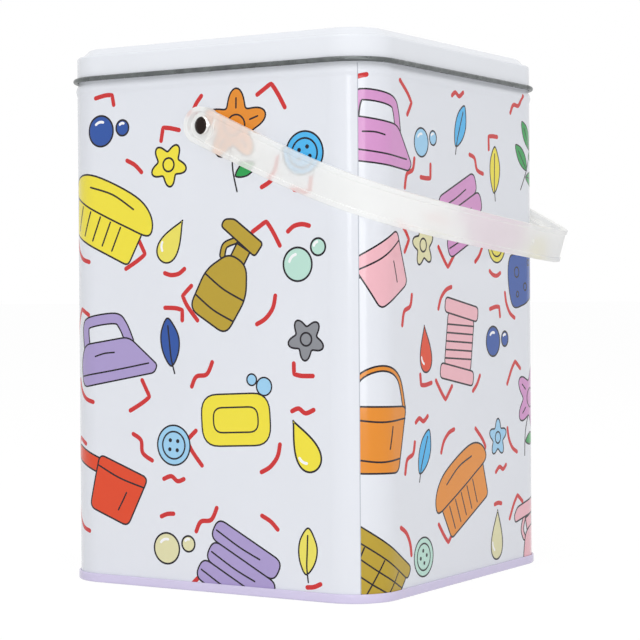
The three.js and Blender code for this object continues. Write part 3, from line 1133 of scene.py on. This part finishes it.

# Where the painted highlight lies on a rivet's head: its shift towards the arm, its inset from the head's
# edge, and its start on the radius.
PAINTED_HIGHLIGHT_SHIFT, PAINTED_HIGHLIGHT_INSET, PAINTED_HIGHLIGHT_START = 0.9, 0.1, 0.97

# Shares of the light that the strap lets through: scattered, and straight from the lamps.
MILK_PASSED, LAMPLIGHT_PASSED = 0.04, 0.65


def feed(tree, socket, value):
    """Links another node's output to a socket, or writes a plain value into it."""
    if isinstance(value, bpy.types.NodeSocket):
        tree.links.new(value, socket)
    else:
        socket.default_value = value


def add_node(tree, kind, inputs=(), **settings):
    """A shader node with its settings, and its inputs as a dictionary of links and values."""
    node = tree.nodes.new("ShaderNode" + kind)
    for name, value in settings.items():
        setattr(node, name, value)
    for name, value in dict(inputs).items():
        feed(tree, node.inputs[name], value)
    return node


def add_ramp(tree, share, start, end):
    """Colours that run from one (position, colour) to another."""
    ramp = add_node(tree, "ValToRGB", {"Fac": share})
    for stop, (position, colour) in zip(ramp.color_ramp.elements, (start, end)):
        stop.position, stop.color = position, colour
    return ramp.outputs["Color"]


def add_noise(tree, scale, detail, stretch=(1, 1, 1)):
    """A noise in the object's own space, with its features' size given by a scale per metre."""
    where = add_node(tree, "TexCoord").outputs["Object"]
    mapping = add_node(tree, "Mapping", {"Vector": where, "Scale": stretch})
    inputs = {"Vector": mapping.outputs["Vector"], "Scale": scale, "Detail": detail}
    return add_node(tree, "TexNoise", inputs).outputs["Fac"]


def make_finish(name, shade, sockets, tint=None, gloss=None, bumps=()):
    """A Principled material whose colour, roughness and surface vary with noises.

    tint is (noise, two multiples of the colour), gloss is (noise, two values of the roughness),
    each bump is (noise, depth in millimetres), and a noise is what add_noise takes.
    """
    material = bpy.data.materials.new(name)
    material.use_nodes = True
    tree = material.node_tree
    inputs = tree.nodes["Principled BSDF"].inputs
    colour = shown_colour(*shade)
    for socket, value in {"Base Color": colour, **sockets}.items():
        inputs[socket].default_value = value
    if tint:
        low, high = ((*(min(1, c * share) for c in colour[:3]), 1) for share in tint[1:])
        tinted = add_ramp(tree, add_noise(tree, *tint[0]), (NOISE_LOW, low), (NOISE_HIGH, high))
        feed(tree, inputs["Base Color"], tinted)
    if gloss:
        spread = {"From Min": NOISE_LOW, "From Max": NOISE_HIGH, "To Min": gloss[1], "To Max": gloss[2]}
        varied = add_node(tree, "MapRange", {"Value": add_noise(tree, *gloss[0]), **spread})
        feed(tree, inputs["Roughness"], varied.outputs["Result"])
    below = {}
    for noise, depth in bumps:
        height = {"Height": add_noise(tree, *noise), "Strength": 1, "Distance": depth * MM}
        below = {"Normal": add_node(tree, "Bump", {**height, **below}).outputs["Normal"]}
    if below:
        feed(tree, inputs["Normal"], below["Normal"])
    return material


def enamel(name, shade):
    """Stoved enamel on tinplate: glossy, with slow waves in the sheet and a faint orange peel."""
    coat = {"Specular IOR Level": 0.2, "Coat Weight": 0.3, "Coat Roughness": 0.06}
    return make_finish(name, shade, coat, tint=((24, 2), 0.99, 1.005), gloss=((90, 3), 0.2, 0.26),
                       bumps=[((7, 0), 0.12), ((700, 2), 0.0008)])


def bare_tin():
    return make_finish("bare_tinplate", TIN_GREY, {"Metallic": 0.8}, tint=((40, 2), 0.96, 1.02),
                       gloss=((90, 2), 0.34, 0.44), bumps=[((500, 1, (1, 1, 0.15)), 0.0015)])


def curl_steel():
    return make_finish("bare_steel_curl", CURL_GREY, {"Metallic": 1}, tint=((220, 3), 0.72, 1.1),
                       gloss=((400, 3), 0.22, 0.42), bumps=[((1500, 2), 0.003)])


def rivet_steel():
    """Polished steel painted dark as a painted reflection of a dark room, with a painted highlight as a
    bright crescent on the head's edge.
    """
    made = make_finish("polished_rivet_steel", RIVET_PAINTED_DARK, {"Metallic": 1},
                       gloss=((900, 3), 0.1, 0.2), bumps=[((1800, 1), 0.002)])
    tree = made.node_tree
    # Painted highlight: a crescent on the head's edge, set off-centre by the shift, turns from the dark
    # colour to the bright one.
    where = add_node(tree, "TexCoord").outputs["Object"]
    to_axis = (PAINTED_HIGHLIGHT_SHIFT * MM, 0, -(PIVOT_HEIGHT - PANEL_RECESS) * MM)
    flat = add_node(tree, "Mapping", {"Vector": where, "Scale": (1, 0, 1), "Location": to_axis})
    reach = add_node(tree, "VectorMath", {0: flat.outputs["Vector"]}, operation="LENGTH")
    edge = (RIVET_HEAD_RADIUS - PAINTED_HIGHLIGHT_INSET) * MM
    share = add_node(tree, "MapRange", {"Value": reach.outputs["Value"], "From Max": edge})
    dark, bright = shown_colour(*RIVET_PAINTED_DARK), shown_colour(*RIVET_PAINTED_HIGHLIGHT)
    colour = add_ramp(tree, share.outputs["Result"], (PAINTED_HIGHLIGHT_START, dark), (1, bright))
    feed(tree, tree.nodes["Principled BSDF"].inputs["Base Color"], colour)
    return made


def washer_steel():
    return make_finish("plain_washer_steel", WASHER_GREY, {"Metallic": 1},
                       tint=((600, 3), 0.82, 1.05), gloss=((900, 3), 0.28, 0.45))


def milky_plastic():
    """Polypropylene that blurs what is behind it, and lets part of the light through to that.

    The strap's inner faces are clear, so that a ray passes its milk only once.
    """
    made = make_finish("milky_polypropylene", MILK_WHITE, {"Transmission Weight": 0.36, "IOR": 1.49},
                       tint=((70, 3), 0.97, 1.0), gloss=((260, 3), 0.36, 0.46),
                       bumps=[((420, 2), 0.004)])
    tree = made.node_tree
    skin = tree.nodes["Principled BSDF"].outputs[0]
    through = add_node(tree, "BsdfTranslucent", {"Color": shown_colour(*MILK_WHITE)})
    milk = add_node(tree, "MixShader", {0: MILK_PASSED, 1: skin, 2: through.outputs[0]})
    shadow_ray = add_node(tree, "LightPath").outputs["Is Shadow Ray"]
    lamplight = add_node(tree, "Math", {0: shadow_ray, 1: LAMPLIGHT_PASSED}, operation="MULTIPLY")
    inner_face = add_node(tree, "NewGeometry").outputs["Backfacing"]
    opened = add_node(tree, "Math", {0: lamplight.outputs[0], 1: inner_face}, operation="MAXIMUM")
    clear = add_node(tree, "BsdfTransparent")
    leaving = add_node(tree, "MixShader", {0: opened.outputs[0], 1: milk.outputs[0], 2: clear.outputs[0]})
    feed(tree, tree.nodes["Material Output"].inputs["Surface"], leaving.outputs[0])
    return made


def make_object():
    tin, polished, plain = bare_tin(), rivet_steel(), washer_steel()
    printed = {name: enamel("enamel_" + name, shade) for name, shade in PALETTE.items()}
    lavender = enamel("enamel_seam_lavender", SEAM_LAVENDER)
    lid_looks = {"base": enamel("enamel_lid_white", LID_WHITE), "curl": curl_steel(), "tin": tin}
    pieces = [
        (body_shell({**printed, "tin": tin}), "drum", "body_shell", "white_enamel"),
        (base_plate({"lavender": lavender, "tin": tin}), "drum", "base_plate", "lavender_enamel"),
        (slip_lid(lid_looks), "lid", "lid", "white_enamel"),
        (bail_handle(milky_plastic()), "handle", "handle", "milky_plastic"),
    ]
    for where, side in (("front", -1), ("back", 1)):
        head = rivet("domed_rivet_" + where, side, polished)
        ring = washer("inner_washer_" + where, side, plain)
        pieces.append((head, "drum", "rivet_" + where, "polished_steel"))
        pieces.append((ring, "drum", "washer_" + where, "plain_steel"))
    for piece, body, node, slot in pieces:
        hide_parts(node)
        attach(piece, body)


# The photograph's camera, solved from the drum's edges: millimetres in the row frame and degrees.
CAMERA_PLACE = (509.2, -813.1, 130.7)
CAMERA_HEADING = -31.77
CAMERA_PITCH = -0.717
CAMERA_ROLL = -0.388
CAMERA_LENS = 110.02


def make_camera():
    data = bpy.data.cameras.new("photo_camera")
    data.lens = CAMERA_LENS
    data.sensor_width = 36
    data.clip_start, data.clip_end = 0.05, 200
    camera = bpy.data.objects.new("photo_camera", data)
    bpy.context.scene.collection.objects.link(camera)
    heading, pitch, roll = map(math.radians, (CAMERA_HEADING, CAMERA_PITCH, CAMERA_ROLL))
    aimed = Matrix.Rotation(-heading, 4, "Z") @ Matrix.Rotation(math.pi / 2 + pitch, 4, "X")
    turned = aimed @ Matrix.Rotation(roll, 4, "Z")
    camera.matrix_world = Matrix.Translation(Vector(CAMERA_PLACE) * MM) @ turned
    bpy.context.scene.camera = camera


# A plain studio: a pale floor that runs into a white far end, and soft lamps.
WHITE = (1, 1, 1, 1)
WORLD_LEVEL = 0.61
FLOOR_PAINT = (0.9, 0.9, 0.9, 1)
FLOOR_HALF = 30
FLOOR_SHARE = 0.9
FLOOR_GLOW = 1.035

# Each lamp's name, azimuth and elevation in degrees, distance and sides in metres, and watts.
LAMPS = (
    ("front_box", -62, 35, 2.2, (1.6, 1.2), 6.9),
    ("top_box", -84, 78, 2.2, (1.2, 1.2), 10),
    ("left_strip", -66, 1, 1.5, (0.25, 0.5), 2.0),
    ("right_strip", -36, 1, 1.5, (0.38, 0.5), 2.9),
)


def seen_directly(tree):
    """1 for rays from the camera, or that metal and clear plastic pass on, and 0 for lighting."""
    path = add_node(tree, "LightPath").outputs
    total = path["Is Camera Ray"]
    for name in ("Is Glossy Ray", "Is Transmission Ray"):
        total = add_node(tree, "Math", {0: total, 1: path[name]}, operation="MAXIMUM").outputs[0]
    return total


def make_world():
    world = bpy.data.worlds.new("plain_studio")
    bpy.context.scene.world = world
    world.use_nodes = True
    tree = world.node_tree
    lit = tree.nodes["Background"]
    lit.inputs["Color"].default_value = WHITE
    lit.inputs["Strength"].default_value = WORLD_LEVEL
    white = add_node(tree, "Background", {"Color": WHITE, "Strength": 1})
    mix = add_node(tree, "MixShader", {0: seen_directly(tree), 1: lit.outputs[0], 2: white.outputs[0]})
    feed(tree, tree.nodes["World Output"].inputs["Surface"], mix.outputs[0])


def make_floor():
    """Where the floor is seen it is mostly glow, and elsewhere it is pale paint."""
    corners = [(x * FLOOR_HALF, y * FLOOR_HALF, -PANEL_RECESS * MM)
               for x, y in ((-1, -1), (1, -1), (1, 1), (-1, 1))]
    mesh = bpy.data.meshes.new("pale_floor")
    mesh.from_pydata(corners, [], [(0, 1, 2, 3)])
    floor = place_in_scene("pale_floor", mesh)
    material = bpy.data.materials.new("pale_floor")
    material.use_nodes = True
    tree = material.node_tree
    tree.nodes.clear()
    paint = add_node(tree, "BsdfDiffuse", {"Color": FLOOR_PAINT})
    glow = add_node(tree, "Emission", {"Strength": FLOOR_GLOW})
    share = add_node(tree, "Math", {0: seen_directly(tree), 1: FLOOR_SHARE}, operation="MULTIPLY")
    mix = add_node(tree, "MixShader", {0: share.outputs[0], 1: paint.outputs[0], 2: glow.outputs[0]})
    add_node(tree, "OutputMaterial", {"Surface": mix.outputs[0]})
    mesh.materials.append(material)


def softbox(name, azimuth, elevation, distance, size, power):
    """A rectangular lamp that faces the drum's middle. Azimuth is anticlockwise from +X."""
    data = bpy.data.lights.new(name, "AREA")
    data.shape = "RECTANGLE"
    data.size, data.size_y = size
    data.energy = power
    lamp = bpy.data.objects.new(name, data)
    lamp.visible_camera = False
    bpy.context.scene.collection.objects.link(lamp)
    turn, lift = math.radians(azimuth), math.radians(elevation)
    way = Vector((math.cos(turn) * math.cos(lift), math.sin(turn) * math.cos(lift), math.sin(lift)))
    middle = Vector((0, 0, BODY_HEIGHT / 2 * MM))
    lamp.location = middle + way * distance
    lamp.rotation_mode = "QUATERNION"
    lamp.rotation_quaternion = way.to_track_quat("Z", "Y")


make_object()
make_camera()
make_world()
make_floor()
for lamp in LAMPS:
    softbox(*lamp)
bpy.context.scene.view_settings.view_transform = "Standard"
